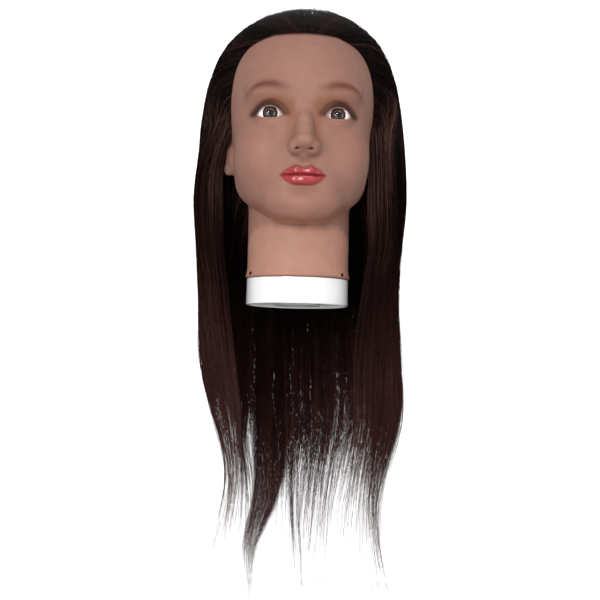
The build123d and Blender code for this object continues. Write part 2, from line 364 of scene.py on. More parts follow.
def head_field(p):
    m = mirrored(p)
    x, y, z = m[..., 0], m[..., 1], m[..., 2]
    field = scalp_field(p)
    # Jaw, chin, cheeks and the round of the mouth.
    field = join(field, limb(m, (14, -60, 103.5), (37.5, -14, 122), 26, 26.5), 14)
    field = join(field, ellipsoid(p, (0, -69, 95), (26, 24, 18.6)), 9)
    field = join(field, ellipsoid(m, (39, -40, 142), (26.5, 38, 36)), 12)
    field = join(field, ellipsoid(p, (0, -58, 123), (38, 32.5, 31)), 10)
    # Neck, wider under the skull and flared a little at the vinyl's edge.
    neck = np.hypot(x, (y - 5 * step(60, 130, z)) / 1.02)
    neck = neck - 50.1 - 1.9 * bell(z - SKIN_EDGE_Z, 6) - 4 * step(90, 140, z)
    neck = np.maximum(neck, z - 165)
    field = join(field, neck, 4.5)
    # Eye sockets, brow, lids and their openings.
    field = cut(field, ellipsoid(m, (31, -103, 182), (21, 18, 11.5)), 10)
    field = join(field, ellipsoid(m, (27, -73, 203), (27, 17, 9)), 14)
    ball = np.sqrt(((m - EYE.astype(np.float32)) ** 2).sum(-1)) - EYE_R
    field = join(field, ball - 2.0, 3.5)
    field = join(field, nose_field(p, m), 3.8)
    opening = almond(m)
    front = step(-60, -72, y)
    crease = bell(opening - 4.6 - 0.05 * np.abs(x - EYE[0]), 1.0) * step(1, 4, z - LID_CORNER[1])
    field = field + 0.45 * crease * front
    field = cut(field, ball - 0.15, 0.3)
    field = cut(field, np.maximum(opening, y - EYE[1]), 0.9)
    # Mouth.
    field = join(field, lips_field(p, m), 1.6)
    line_z = MOUTH_Z + 0.7 * bell(x, 4) - 0.6 * bell(x - 9, 6) - 0.3 * step(14, 22, x)
    parting = bell(z - line_z, 0.75) * step(MOUTH_HALF_WIDTH + 1, MOUTH_HALF_WIDTH - 4, x)
    field = field + 1.2 * parting * step(-76, -82, y)
    philtrum = bell(x, 2.6) * bell(z - 133, 4) * front
    field = field + 0.9 * philtrum
    fold = bell(z - 104.5, 4.5) * bell(x, 16) * front
    field = field + 1.6 * fold
    # Ears, their lobes grown onto the cheek.
    field = join(field, ellipsoid(m, (64.5, 0, 146), (8, 17, 17)), 6)
    near_ear = x > 55
    ear = np.full(field.shape, 60, np.float32)
    ear[near_ear] = ear_field(m[near_ear])
    field = join(field, ear, 3.5)
    # The neck's lower edge and the recess for the neck base's spigot.
    field = np.maximum(field, SKIN_EDGE_Z - z)
    spigot = np.maximum(np.hypot(p[..., 0], p[..., 1]) - SPIGOT_R, z - SPIGOT_TOP_Z - 0.3)
    return np.maximum(field, -spigot)


def stations(low, high, spans, fine, coarse):
    """Grid lines from low to high, close together inside the spans and coarser away from them."""
    lines = [low]
    while lines[-1] < high:
        outside = min(max(first - lines[-1], lines[-1] - last, 0) for first, last in spans)
        lines.append(lines[-1] + fine + (coarse - fine) * min(outside / 14, 1))
    return np.array(lines, np.float32)


def sampled(field, grid, block=4):
    """The field on a grid: worked out near the surface only, and elsewhere just its sign."""
    rough_lines = [lines[::block] for lines in grid]
    rough = np.stack(np.meshgrid(*rough_lines, indexing="ij"), -1)
    rough_values = field(rough.reshape(-1, 3)).reshape(rough.shape[:3])
    for axis in range(3):
        rough_values = np.repeat(rough_values, block, axis)
    shape = tuple(len(lines) for lines in grid)
    values = rough_values[: shape[0], : shape[1], : shape[2]].astype(np.float32)
    reach = np.sqrt(sum(side**2 for side in np.ix_(*[np.gradient(lines) * block for lines in grid])))
    near = np.nonzero(np.abs(values) < reach + 3)
    points = np.stack([grid[axis][near[axis]] for axis in range(3)], -1)
    exact = [field(part) for part in np.array_split(points, max(1, len(points) // 200000))]
    values[near] = np.concatenate(exact)
    return values


CORNERS = [(i, j, k) for i in (0, 1) for j in (0, 1) for k in (0, 1)]


def surface_net(values, grid):
    """The surface where the values are 0: a vertex in each crossed cell, a quad at each crossed edge."""
    inside = values < 0
    size = [n - 1 for n in values.shape]
    count = sum(
        inside[i : i + size[0], j : j + size[1], k : k + size[2]].astype(np.int8) for i, j, k in CORNERS
    )
    cells = np.array(np.nonzero((count > 0) & (count < 8)))
    number = np.full(size, -1, np.int64)
    number[tuple(cells)] = np.arange(cells.shape[1])
    corner_value = [values[tuple(cells + np.array(c)[:, None])] for c in CORNERS]
    corner_point = [
        np.stack([grid[a][cells[a] + c[a]] for a in range(3)], -1).astype(np.float64) for c in CORNERS
    ]
    total = np.zeros((cells.shape[1], 3))
    hits = np.zeros(cells.shape[1])
    for a, start in enumerate(CORNERS):
        for b, end in enumerate(CORNERS):
            if b <= a or sum(abs(s - e) for s, e in zip(start, end)) != 1:
                continue
            va, vb = corner_value[a], corner_value[b]
            crossed = (va < 0) != (vb < 0)
            t = np.where(crossed, va / np.where(crossed, va - vb, 1), 0)[:, None]
            total += np.where(crossed[:, None], corner_point[a] * (1 - t) + corner_point[b] * t, 0)
            hits += crossed
    quads = []
    for axis in range(3):
        one, two = (axis + 1) % 3, (axis + 2) % 3
        edges = np.array(np.nonzero(np.diff(inside, axis=axis)))
        interior = (edges[one] > 0) & (edges[two] > 0)
        interior &= (edges[one] < size[one]) & (edges[two] < size[two])
        edges = edges[:, interior]
        ring = []
        for back_one, back_two in ((1, 1), (0, 1), (0, 0), (1, 0)):
            cell = edges.copy()
            cell[one] -= back_one
            cell[two] -= back_two
            ring.append(number[tuple(cell)])
        quad = np.stack(ring, -1)
        outwards = inside[tuple(edges)]
        quads.append(np.where(outwards[:, None], quad, quad[:, ::-1]))
    return total / hits[:, None], np.concatenate(quads)


def gradient(field, points, reach=0.15):
    slope = np.empty_like(points)
    for axis in range(3):
        shift = np.zeros(3, np.float32)
        shift[axis] = reach
        slope[:, axis] = (field(points + shift) - field(points - shift)) / (2 * reach)
    return slope


def settled(field, points, rounds=3):
    """The points moved onto the field's surface."""
    points = points.astype(np.float32)
    for _ in range(rounds):
        slope = gradient(field, points)
        size = np.maximum((slope**2).sum(-1), 0.25)
        shift = slope * (field(points) / size)[:, None]
        length = np.sqrt((shift**2).sum(-1))[:, None]
        points = points - shift * np.minimum(1, 0.6 / np.maximum(length, 1e-6))
    return points


def put(target, key, values, kind=np.float32):
    target.foreach_set(key, np.ascontiguousarray(values, kind).ravel())


def new_piece(name, points_mm, faces, node, material):
    """A mesh object from points in millimetres and quads, which stands for a CAD node."""
    mesh = bpy.data.meshes.new(name)
    mesh.vertices.add(len(points_mm))
    put(mesh.vertices, "co", points_mm * MM)
    corners = faces.shape[1]
    mesh.loops.add(faces.size)
    put(mesh.loops, "vertex_index", faces, np.int32)
    mesh.polygons.add(len(faces))
    put(mesh.polygons, "loop_start", np.arange(0, faces.size, corners), np.int32)
    put(mesh.polygons, "use_smooth", np.ones(len(faces)), bool)
    mesh.update(calc_edges=True)
    mesh.validate()
    piece = placed(name, mesh)
    mesh.materials.append(material)
    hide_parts(*([node] if isinstance(node, str) else node))
    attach(piece, "root")
    return piece


def reach_of(inside, directions):
    """How far from the head's centre each direction leaves a shape."""
    low = np.full(len(directions), 40.0)
    high = np.full(len(directions), 160.0)
    for _ in range(13):
        middle = (low + high) / 2
        within = inside(CENTRE + directions * middle[:, None])
        low, high = np.where(within, middle, low), np.where(within, high, middle)
    return (low + high) / 2


# ------------------------------------------------------------------------------- hairline

CENTRE = np.array([0, 5, 190], np.float32)  # directions over the head are taken from here
# How high the scalp begins, by the angle round the head: 0 at the face, 180 at the nape.
HAIRLINE_ANGLE = [0, 27, 37, 46.5, 53, 57, 60, 62, 65.5, 69, 76, 80, 100, 108, 118, 135, 155, 180]
HAIRLINE_Z = [
    262, 261.5, 258.5, 255.5, 251.5, 246, 238, 215, 195, 170, 168, 186, 186, 165, 150, 130, 115, 110
]


def round_head(p):
    """The angle round the head, from 0 at the face to 180 at the nape, on either side."""
    return np.degrees(np.arctan2(np.abs(p[..., 0]), CENTRE[1] - p[..., 1]))


def above_hairline(p):
    """Height above the hairline, in millimetres."""
    return p[..., 2] - np.interp(round_head(p), HAIRLINE_ANGLE, HAIRLINE_Z)


def scalp_reach(directions):
    return reach_of(lambda p: scalp_field(p) < 0, directions)


def on_scalp(directions):
    return CENTRE + directions * scalp_reach(directions)[:, None]


# ---------------------------------------------------------------------------- painted vinyl

SKIN = np.array([0.330, 0.166, 0.124])
LIT_NECK = np.array([0.49, 0.25, 0.185])
BLUSH = np.array([0.42, 0.15, 0.11])
UMBER_SHADE_AND_MAKEUP = np.array([0.26, 0.085, 0.036])
LIP = np.array([0.40, 0.030, 0.038])
LIP_LINER_AND_SHADE = np.array([0.16, 0.010, 0.014])
BROW = np.array([0.115, 0.030, 0.014])
SHADOW = np.array([0.046, 0.014, 0.008])
LINER = np.array([0.012, 0.007, 0.006])
RIM = np.array([0.58, 0.36, 0.31])
SCALP = np.array([0.010, 0.006, 0.005])
BROW_LINE = [(12, 204.5), (20, 206), (30, 208.5), (40, 208.8), (47, 207), (55, 201), (61, 193)]
LIP_TOP = [(0, 127.3), (3, 127.7), (7, 129.0), (11, 128.5), (16, 126.0), (20, 123.2), (22.8, 121.2)]
LIP_BOTTOM = [
    (0, 110.9), (6, 111.0), (11, 112.1), (15, 113.9), (18.5, 116.4), (21, 118.9), (22.6, 120.8)
]


def painted(p):
    """The paint on each point of the vinyl, painted light and shade included, and how glossy it is
    there.
    """
    m = mirrored(p)
    x, y, z = np.abs(p[:, 0]), p[:, 1], p[:, 2]
    front = step(-55, -68, y)
    colour = np.tile(SKIN, (len(p), 1))
    gloss = np.zeros(len(p))

    def paint(amount, over):
        colour[:] += (over - colour) * np.clip(amount, 0, 1)[:, None]

    jaw_z = np.interp(x, [0, 17, 25, 37, 51, 60], [77, 79, 81, 90, 98, 107])
    # Painted light: the neck below the jaw is painted lighter than the face, as if lit from low in
    # front.
    lit_throat = step(1.5, -3.0, z - jaw_z + 0.8 * np.maximum(y + 50, 0))
    paint(0.85 * lit_throat, LIT_NECK)
    # Painted shade along the jaw's underside, where it turns away over the neck.
    paint(0.55 * bell(z - jaw_z - 0.5, 3.2) * step(-30, -50, y), UMBER_SHADE_AND_MAKEUP)
    paint(0.16 * bell(np.hypot(x - 44, z - 148), 17) * front, BLUSH)
    paint(0.2 * bell(np.hypot(x, z - 92), 12) * front, BLUSH)
    # Painted shade in warm brown: at the sides of the nose, in the sockets under the brows and below the
    # lip, the hollows where shadow falls.
    nose_side_shade = bell(x - 12.5 - 0.06 * (188 - z), 4.5) * step(142, 158, z) * step(206, 186, z)
    paint(0.58 * nose_side_shade * step(-112, -84, y) * front, UMBER_SHADE_AND_MAKEUP)
    paint(0.52 * bell(np.hypot((x - EYE[0] + 5) / 1.7, z - 192), 8.0) * front, UMBER_SHADE_AND_MAKEUP)
    paint(0.35 * bell(x / 1.8, 9) * bell(z - 106, 3.5) * front, UMBER_SHADE_AND_MAKEUP)
    # Brows: sprayed arcs, denser in the middle and fading at both ends.
    line = np.array(BROW_LINE)
    brow_z = np.interp(x, line[:, 0], line[:, 1])
    thickness = np.interp(x, [11, 20, 36, 60], [3.2, 4.9, 4.4, 2.2])
    ends = (0.35 + 0.65 * step(14, 30, x)) * step(8, 17, x) * step(62, 46, x)
    under = np.where(z < brow_z, 1.2, 0.85)
    brow = bell(z - brow_z, thickness * under) * ends * front
    paint(0.86 * brow, BROW)
    # Eye shadow round the upper lid, darkest at its edge, and a pale rim below it.
    opening = almond(m)
    height = z - LID_CORNER[1]
    over_lid = step(-2.5, 1.5, height)
    paint(0.55 * step(13, 4, opening) * over_lid * front, UMBER_SHADE_AND_MAKEUP)
    lid = step(8.6, 4.0, opening) * over_lid * front
    outer = step(-11, 4, x - EYE[0])
    paint(lid * (0.62 + 0.32 * outer), SHADOW)
    corner = bell(np.hypot((np.abs(x - EYE[0]) - 15.5) / 1.4, height - 1.5), 3.4)
    paint((0.35 + 0.4 * outer) * corner * front, SHADOW)
    paint(0.4 * step(3.5, 0.8, opening) * (1 - over_lid) * front, UMBER_SHADE_AND_MAKEUP)
    paint(0.5 * bell(opening - 1.7, 1.0) * step(-1.5, 1.5, height) * front, LINER)
    paint(0.8 * step(0.8, 0.25, opening) * front, RIM)
    gloss -= 1.3 * np.maximum(0.6 * brow, lid)
    # Lips.
    top = np.interp(x, *np.array(LIP_TOP).T)
    bottom = np.interp(x, *np.array(LIP_BOTTOM).T)
    inside = np.minimum(top - z, z - bottom)
    lips = step(-0.5, 0.5, inside) * step(23.4, 22.2, x) * step(-70, -76, y)
    paint(lips, LIP)
    # Painted shade along the mouth's parting, and a darker lip liner round the lips' edges.
    paint(0.7 * lips * bell(z - MOUTH_Z, 1.3), LIP_LINER_AND_SHADE)
    paint(0.35 * lips * bell(inside, 1.3), LIP_LINER_AND_SHADE)
    gloss = np.maximum(gloss, lips * (1 - bell(z - MOUTH_Z, 1.4)))
    scalp = step(-3.0, 1.5, above_hairline(p))
    paint(scalp, SCALP)
    gloss -= 1.6 * scalp
    paint(0.5 * bell(z - SKIN_EDGE_Z, 0.8), LINER)
    return colour, gloss


def vinyl_material():
    vinyl = Material(
        "painted_vinyl", Coat_Roughness=0.10,
        Subsurface_Weight=0.12, Subsurface_Radius=(1.0, 0.45, 0.25), Subsurface_Scale=0.002,
    )
    paint = vinyl.add("ShaderNodeAttribute", attribute_name="paint").outputs["Color"]
    place = vinyl.place()
    mottle = vinyl.noise(90.0, 4.0, place)
    tone = vinyl.ramp(mottle, (0.25, (0.93, 0.92, 0.91)), (0.75, (1.05, 1.06, 1.07)))
    vinyl.set("Base Color", vinyl.mix(1.0, paint, tone, "MULTIPLY"))
    gloss = vinyl.add("ShaderNodeAttribute", attribute_name="gloss").outputs["Fac"]
    dull = vinyl.math("MULTIPLY_ADD", vinyl.noise(300.0, 2.0, place), 0.12, 0.49)
    vinyl.set("Roughness", vinyl.math("SUBTRACT", dull, vinyl.math("MULTIPLY", gloss, 0.25)))
    vinyl.set("Specular IOR Level", vinyl.math("MULTIPLY_ADD", gloss, 0.2, 0.27, clamp=True))
    vinyl.set("Coat Weight", vinyl.math("MULTIPLY", gloss, 0.9, clamp=True))
    vinyl.bump(vinyl.noise(1400.0, 3.0, place), 0.00012, 0.35)
    return vinyl.data


# Close lines over the face, and where the neck's wall is thin, round the base's spigot.
FACE_GRID = (
    stations(-86, 86, [(-48, 48)], 1.01, 2.6),
    stations(-118, 100, [(-118, -76), (-51, -40), (40, 51)], 1.01, 2.4),
    stations(SKIN_EDGE_Z - 4, 290, [(104, 196)], 1.01, 4.0),
)


def add_vinyl_skin():
    points, quads = surface_net(sampled(head_field, FACE_GRID), FACE_GRID)
    points = settled(head_field, points)
    look = vinyl_material()
    mesh = new_piece("vinyl_skin_sculpted", points, quads, "vinyl_skin", look).data
    colour, gloss = painted(points)
    paint = mesh.attributes.new("paint", "FLOAT_COLOR", "POINT")
    put(paint.data, "color", np.c_[colour, np.ones(len(colour))])
    shine = mesh.attributes.new("gloss", "FLOAT", "POINT")
    put(shine.data, "value", gloss)
    unwrap_head(mesh, points)


def unwrap_head(mesh, points):
    """A wrap round the head that gives the face most of the room."""
    turn = np.degrees(np.arctan2(points[:, 0], -(points[:, 1] - CENTRE[1])))
    across = np.interp(turn, [-180, -75, 75, 180], [0.01, 0.13, 0.87, 0.99])
    up = np.interp(points[:, 2], [20, 74, 215, 290], [0.01, 0.15, 0.9, 0.99])
    loops = np.empty(len(mesh.loops), np.int32)
    mesh.loops.foreach_get("vertex_index", loops)
    u = across[loops].reshape(-1, 4)
    seam = (u.max(1) - u.min(1)) > 0.5
    u[seam] = np.where(u[seam] < 0.5, 0.995, u[seam])
    layer = mesh.uv_layers.new(name="OFBake")
    put(layer.data, "uv", np.stack([u.ravel(), up[loops]], -1))


add_vinyl_skin()


def revolved(profile, centre, sides=64):
    """A closed shape of revolution about a line along -Y: (radius, y) pairs from its front centre."""
    turns = np.arange(sides) * 2 * np.pi / sides
    rings = [
        np.stack([r * np.cos(turns), 0 * turns + y, r * np.sin(turns)], -1) for r, y in profile[1:-1]
    ]
    points = np.concatenate([[[0, profile[0][1], 0]], *rings, [[0, profile[-1][1], 0]]])
    last = len(points) - 1
    here = np.arange(sides)
    after = (here + 1) % sides
    faces = [np.stack([0 * here, 1 + here, 1 + after], -1)]
    for ring in range(len(rings) - 1):
        a, b = 1 + ring * sides + here, 1 + ring * sides + after
        faces += [np.stack([a, a + sides, b], -1), np.stack([b, a + sides, b + sides], -1)]
    a = last - sides
    faces.append(np.stack([a + here, 0 * here + last, a + after], -1))
    return points + centre, np.concatenate(faces)


def dome(radius, start, end, count, middle=0.0):
    """Points of a ball's profile between two distances from its axis."""
    r = np.linspace(start, end, count)
    return [(one, middle - math.sqrt(radius**2 - one**2)) for one in r]


EYE_IRIS_R = 7.4
CORNEA_R = 11.5


def glowing_eye_white_material():
    # The whites glow a little by emission: a painted light that keeps them bright.
    white = Material(
        "eye_white", Roughness=0.12, Coat_Weight=0.6, Emission_Color=WHITE, Emission_Strength=0.12,
        Subsurface_Weight=0.1, Subsurface_Radius=(1.0, 0.7, 0.6), Subsurface_Scale=0.001,
    )
    place = white.place()
    veins = white.noise(260.0, 6.0, place, 0.7)
    white.set("Base Color", white.ramp(veins, (0.3, (0.88, 0.86, 0.86)), (0.6, (0.94, 0.94, 0.95))))
    return white.data


def iris_material(centre):
    """Brown iris: dark ring and pupil, radial fibres."""
    iris = Material("brown_iris", Roughness=0.6, Specular_IOR_Level=0.15)
    from_centre = {0: iris.place(), 1: tuple(centre * MM)}
    where = iris.add("ShaderNodeVectorMath", from_centre, operation="SUBTRACT")
    split = iris.add("ShaderNodeSeparateXYZ", {"Vector": where.outputs[0]})
    x, z = split.outputs["X"], split.outputs["Z"]
    out = iris.math("SQRT", iris.math("MULTIPLY_ADD", x, x, iris.math("MULTIPLY", z, z)))
    out = iris.math("DIVIDE", out, EYE_IRIS_R * MM)
    turn = iris.math("ARCTAN2", z, x)
    polar = iris.add(
        "ShaderNodeCombineXYZ",
        {"X": iris.math("MULTIPLY", iris.math("SINE", turn), 9.0),
         "Y": iris.math("MULTIPLY", iris.math("COSINE", turn), 9.0),
         "Z": iris.math("MULTIPLY", out, 1.3)},
    )
    fibres = iris.noise(1.6, 5.0, polar.outputs[0], 0.7)
    fibre = iris.ramp(fibres, (0.3, (0.6, 0.55, 0.5)), (0.7, (1.5, 1.4, 1.3)))
    rings = iris.ramp(
        out,
        (0.0, (0.003, 0.002, 0.002)),
        (0.40, (0.003, 0.002, 0.002)),
        (0.46, (0.030, 0.012, 0.008)),
        (0.62, (0.105, 0.048, 0.032)),
        (0.74, (0.045, 0.018, 0.012)),
        (0.80, (0.005, 0.003, 0.003)),
        (1.0, (0.004, 0.002, 0.002)),
    )
    iris.set("Base Color", iris.mix(1.0, rings, fibre, "MULTIPLY"))
    iris.bump(fibres, 0.0001, 0.2)
    return iris.data


def lens_material():
    """Clear and glossy: it lets the iris show unbent, and shines where it is seen at a slant."""
    lens = Material("clear_lens")
    film = lens.noise(60.0, 2.0, lens.place())
    polish = lens.math("MULTIPLY", film, 0.05)
    shine = lens.add("ShaderNodeBsdfGlossy", {"Color": (1, 1, 1, 1), "Roughness": polish})
    clear = lens.add("ShaderNodeBsdfTransparent")
    share = lens.add("ShaderNodeFresnel", {"IOR": 1.42}).outputs[0]
    inner = lens.add("ShaderNodeNewGeometry").outputs["Backfacing"]
    share = lens.math("MULTIPLY", share, lens.math("SUBTRACT", 1.0, inner))
    both = lens.add("ShaderNodeMixShader", {0: share, 1: clear.outputs[0], 2: shine.outputs[0]})
    lens.feed(lens.tree.nodes["Material Output"].inputs["Surface"], both.outputs[0])
    return lens.data


def add_eyes():
    white, lens = glowing_eye_white_material(), lens_material()
    r = EYE_IRIS_R
    edge = -math.sqrt(EYE_R**2 - r**2)
    ball = [(0, edge + 1.0), (r - 0.15, edge + 1.0), (r - 0.02, edge + 0.25)]
    ball += dome(EYE_R, r + 0.12, EYE_R - 0.01, 40) + [(EYE_R - 0.4, 0.3), (0, 0.3)]
    iris = [(0, edge + 0.75), (1.2, edge + 0.72), (2.2, edge + 0.62), (2.6, edge + 0.4)]
    iris += [(4.5, edge + 0.28), (6.2, edge + 0.05), (r - 0.2, edge + 0.2), (r - 0.2, edge + 0.95)]
    middle = math.sqrt(CORNEA_R**2 - (r + 0.05) ** 2) + edge
    clear = dome(CORNEA_R, 0, r + 0.05, 20, middle) + [(r - 0.1, edge + 0.02)]
    clear += [(radius, y - 0.05) for radius, y in reversed(iris[:-1])]
    iris.append((0, edge + 0.95))
    for side, sign in (("left", 1), ("right", -1)):
        centre = EYE * (sign, 1, 1)
        for name, profile, slot, material in (
            ("eye_white", ball, "eye_white", white),
            ("iris", iris, "iris", iris_material(centre)),
            ("eye_lens", clear, "eye_lens", lens),
        ):
            points, faces = revolved(profile, centre, 96)
            shape = "disc" if name == "iris" else "dome"
            new_piece(f"{side}_{name}_{shape}", points, faces, f"{side}_{name}", material)


def add_fillings():
    """The foam core and the latex backing, hidden inside the vinyl and following its shape."""
    foam = Material("white_foam", Roughness=0.95)
    cells = foam.noise(700.0, 3.0, foam.place())
    foam.mottle(cells, (0.62, 0.58, 0.48), (0.80, 0.77, 0.68))
    foam.bump(cells, 0.0004, 0.6)
    lines = [stations(*ends, [(0, 0)], 3, 3) for ends in ((-86, 86), (-118, 100), (26, 290))]

    def core(p):
        return np.maximum(head_field(p) + 5.6, SPIGOT_TOP_Z + 0.6 - p[..., 2])

    points, quads = surface_net(sampled(core, lines), lines)
    new_piece("foam_core_filling", settled(core, points), quads, "foam_core", foam.data)
    latex = Material("latex_backing", Roughness=0.6)
    skin = latex.noise(220.0, 4.0, latex.place())
    latex.mottle(skin, (0.50, 0.38, 0.22), (0.62, 0.50, 0.32))
    latex.bump(skin, 0.0003, 0.4)
    turns = np.radians(np.arange(0, 360, 4.0))
    rows = []
    for up in np.linspace(0, 1, 30):
        from_face = np.degrees(np.abs((turns + np.pi) % (2 * np.pi) - np.pi))
        edge_z = np.interp(from_face, HAIRLINE_ANGLE, HAIRLINE_Z)
        low = np.arctan2(edge_z + 2 - CENTRE[2], 80)
        tilt = low + (np.radians(89.5) - low) * up
        flat = np.cos(tilt)
        rows.append(np.stack([flat * np.sin(turns), -flat * np.cos(turns), np.sin(tilt)], -1))
    looks = np.concatenate(rows)
    scalp = scalp_reach(looks)
    count = len(turns)
    outer = CENTRE + looks * (scalp - 3.4)[:, None]
    inner = CENTRE + looks * (scalp - 5.0)[:, None]
    here = np.arange(count)
    after = (here + 1) % count
    size = len(outer)
    last = size - count

    def band(low, high):
        return np.stack([low + here, low + after, high + after, high + here], -1)

    shell = np.concatenate([band(low, low + count) for low in range(0, last, count)])
    faces = np.concatenate([shell, size + shell[:, ::-1], band(size, 0), band(last, size + last)])
    points = np.concatenate([outer, inner])
    new_piece("scalp_backing_shell", points, faces, "scalp_backing", latex.data)


# ----------------------------------------------------------------------------------- hair

STRANDS = 16500
HAIRLINE_STRANDS = 3500
STRAND_RADIUS = 0.15
PIECE_STRANDS = 1600
COLUMNS = 256
STREAK_COLUMNS = 4
PATH = 64  # points of a strand while its path is worked out
CAP_PATH = 24  # how many of them lie over the head, before the strand hangs
SHAFT = 21  # points of a finished strand
HANG_Z = 175.0
CLUMPS = 420
# Horizontal sections of the hair: height, front, back, half width, y of the widest place, and how
# far the section lies to the left.
HAIR_OUTSIDE = np.array([
    (-300, -15, 84, 70, 40, 2), (-200, -12, 94, 80, 40, 3), (-120, -8, 104, 91.5, 40, 2.5),
    (-40, -8, 108, 99.5, 35, 2), (30, -10, 110, 101.5, 30, 2), (107, -20, 113, 109, 25, 2),
    (156, -45, 116, 106, 20, 2), (190, -75, 116, 102.3, 18, 1.7), (226, -93, 112, 95.5, 15, 1.7),
    (248, -93, 104, 87, 14, 2), (266, -80, 92, 76, 12, 2.5), (280, -60, 78, 62, 11, 3),
    (291, -38, 60, 45, 10, 4), (298, -20, 40, 28, 9, 5), (301.5, -2, 20, 10, 8, 7),
])
HAIR_INSIDE = np.array([
    (-300, -60, 58, 52, 30, 0), (-120, -60, 70, 68, 30, 0), (-20, -60, 72, 74, 25, 0),
    (60, -60, 70, 76, 20, 0), (112, -60, 66, 76, 10, 0), (150, -60, 82, 79, 8, 0),
    (190, -60, 95, 74, 10, 0),
])
# How far back the hair's front edge lies, by height: less on the left, where it covers the ear.
FRONT_EDGE_Z = [-100, 60, 100, 120, 135, 150, 160, 170, 190]
FRONT_EDGE_RIGHT = [8, 18, 18, 18, 16, 9, -6, -22, -32]
FRONT_EDGE_LEFT = [5, 9, 2, -3, -9, -15, -20, -26, -34]


def section(table, z):
    """Front, back, half width, y of the widest place and shift to the left, at a height."""
    return (np.interp(z, table[:, 0], table[:, i]) for i in range(1, 6))


def on_section(table, turn, z):
    """Where a section at a height is met, turning from the face (0) to the left ear (a quarter)."""
    front, back, half, widest, aside = section(table, z)
    reach = np.where(np.cos(turn) > 0, widest - front, back - widest)
    return np.stack([aside + half * np.sin(turn), widest - reach * np.cos(turn), z + 0 * turn], -1)


def in_hair(p):
    front, back, half, widest, aside = section(HAIR_OUTSIDE, p[:, 2])
    reach = np.where(p[:, 1] < widest, widest - front, back - widest)
    within = ((p[:, 0] - aside) / half) ** 2 + ((p[:, 1] - widest) / reach) ** 2 < 1
    return within & (p[:, 2] < HAIR_OUTSIDE[-1, 0])


def unit(vectors):
    return vectors / np.maximum(np.sqrt((vectors**2).sum(-1, keepdims=True)), 1e-9)


def ranked(values):
    """The values' order, spread evenly from 0 to 1."""
    rank = np.empty(len(values))
    rank[np.argsort(values)] = (np.arange(len(values)) + 0.5) / len(values)
    return rank


def root_places():
    """Where the hair is rooted: all over the scalp, and closer together along the hairline."""
    roots = on_scalp(unit(random.normal(size=(STRANDS * 4, 3))))
    height = above_hairline(roots) + random.normal(0, 0.8, len(roots))
    scalp = roots[height > 0][:STRANDS]
    edge = roots[(height > 0) & (height < 16 * random.random(len(roots)) ** 0.8) & (roots[:, 1] < 5)]
    extra = edge[random.integers(0, len(edge), HAIRLINE_STRANDS)]
    extra = on_scalp(unit(extra + random.normal(0, 1.2, extra.shape) - CENTRE))
    return np.concatenate([scalp, extra])


def hanging_turn(roots):
    """The turn round the head at which each strand hangs, spread evenly from edge to edge."""
    side = np.where(roots[:, 0] + random.normal(0, 3, len(roots)) < 0, -1, 1)
    turn = round_head(roots)
    from_top = 180 - 1.4 * np.degrees(np.arcsin(np.clip(np.abs(roots[:, 0]) / 78, 0, 1)))
    combed = turn + 12 * (1 - turn / 180)
    wanted = combed + (from_top - combed) * step(165, 225, roots[:, 2])
    wanted += random.normal(0, 4, len(roots))
    even = np.empty(len(roots))
    for half in (side < 0, side > 0):
        even[half] = ranked(wanted[half])
    return side, even + random.normal(0, 0.02, len(roots)) * even


def front_turn(side, z):
    """The turn at which the hair's front edge lies, at a height."""
    right, left = (np.interp(z, FRONT_EDGE_Z, edge) for edge in (FRONT_EDGE_RIGHT, FRONT_EDGE_LEFT))
    edge = np.where(side < 0, right, left)
    front, _, _, widest, _ = section(HAIR_OUTSIDE, z)
    return np.arccos(np.clip((widest - edge) / (widest - front), -0.5, 0.98))


def hanging_place(side, even, layer, z):
    """A point of the hanging hair: across from the front edge to the back, and from inside to out."""
    turn = front_turn(side, z)
    turn = side * (turn + (np.pi - turn) * even)
    inner, outer = on_section(HAIR_INSIDE, turn, z), on_section(HAIR_OUTSIDE, turn, z)
    return inner + (outer - inner) * layer[..., None]


# The long lock that hangs lowest, by height: the x of its middle, and how narrow it has drawn.
LOCK_Z = [-301, -292, -270, -248, -226, -204, -175, -125, -85]
LOCK_X = [-40, -39, -40, -41, -35, -26, -21, -21, -24]
LOCK_WIDTH = [0.05, 0.09, 0.24, 0.45, 0.62, 0.72, 0.88, 1.0, 1.0]
LOCK_HALF = 16.0
# How many layers of strands still hang at each height, over most of the hair's width.
THINNING_LAYERS = [0, 0.03, 0.12, 0.4, 0.8, 1.25, 1.8, 2.7, 4.2, 7.0, 12.0, 24.0]
THINNING_Z = [-298, -290, -280, -266, -251, -234, -213, -190, -168, -149, -130, -92]


def drifted(hang, spot, strays):
    """The hanging hair moved sideways in broad locks, which bend more and more towards the tips."""
    x0, z = spot[:, 0, None], hang[..., 2]
    deep = np.clip((-20 - z) / 200, 0, 1.4)
    layer_phase = 0.5 * np.sin(spot[:, 1, None] / 14)
    sway = 2.4 * np.sin(x0 / 13 + layer_phase + z / 55) + 1.4 * np.sin(x0 / 6.1 + 2 + z / 38)
    hang[..., 0] += sway * deep**1.6
    hang[..., 0] += 4 * bell(z + 115, 55) * step(-70, 60, x0)
    bulge = 11 * bell(z + 100, 75) * step(30, 80, x0)
    hang[..., 0] += bulge + 16 * bell(z + 165, 62) * step(-40, -85, x0)
    hang[..., 0] += 12 * deep**3 * step(35, 80, x0) - 8 * deep**3 * step(-40, -75, x0)
    apart = bell(z + 138, 28) * bell(x0 + 44, 12)
    hang[..., 0] += apart * 6 * np.clip((x0 + 41) / 3, -1, 1)
    inside = step(LOCK_HALF + 5, LOCK_HALF - 1, np.abs(x0 - LOCK_X[-1])) * ~strays[:, None]
    draw = step(-70, -150, z) * inside
    middle = np.interp(z, LOCK_Z, LOCK_X)
    wanted = middle + (x0 - LOCK_X[-1]) * np.interp(z, LOCK_Z, LOCK_WIDTH)
    hang[..., 0] += (wanted - hang[..., 0]) * draw


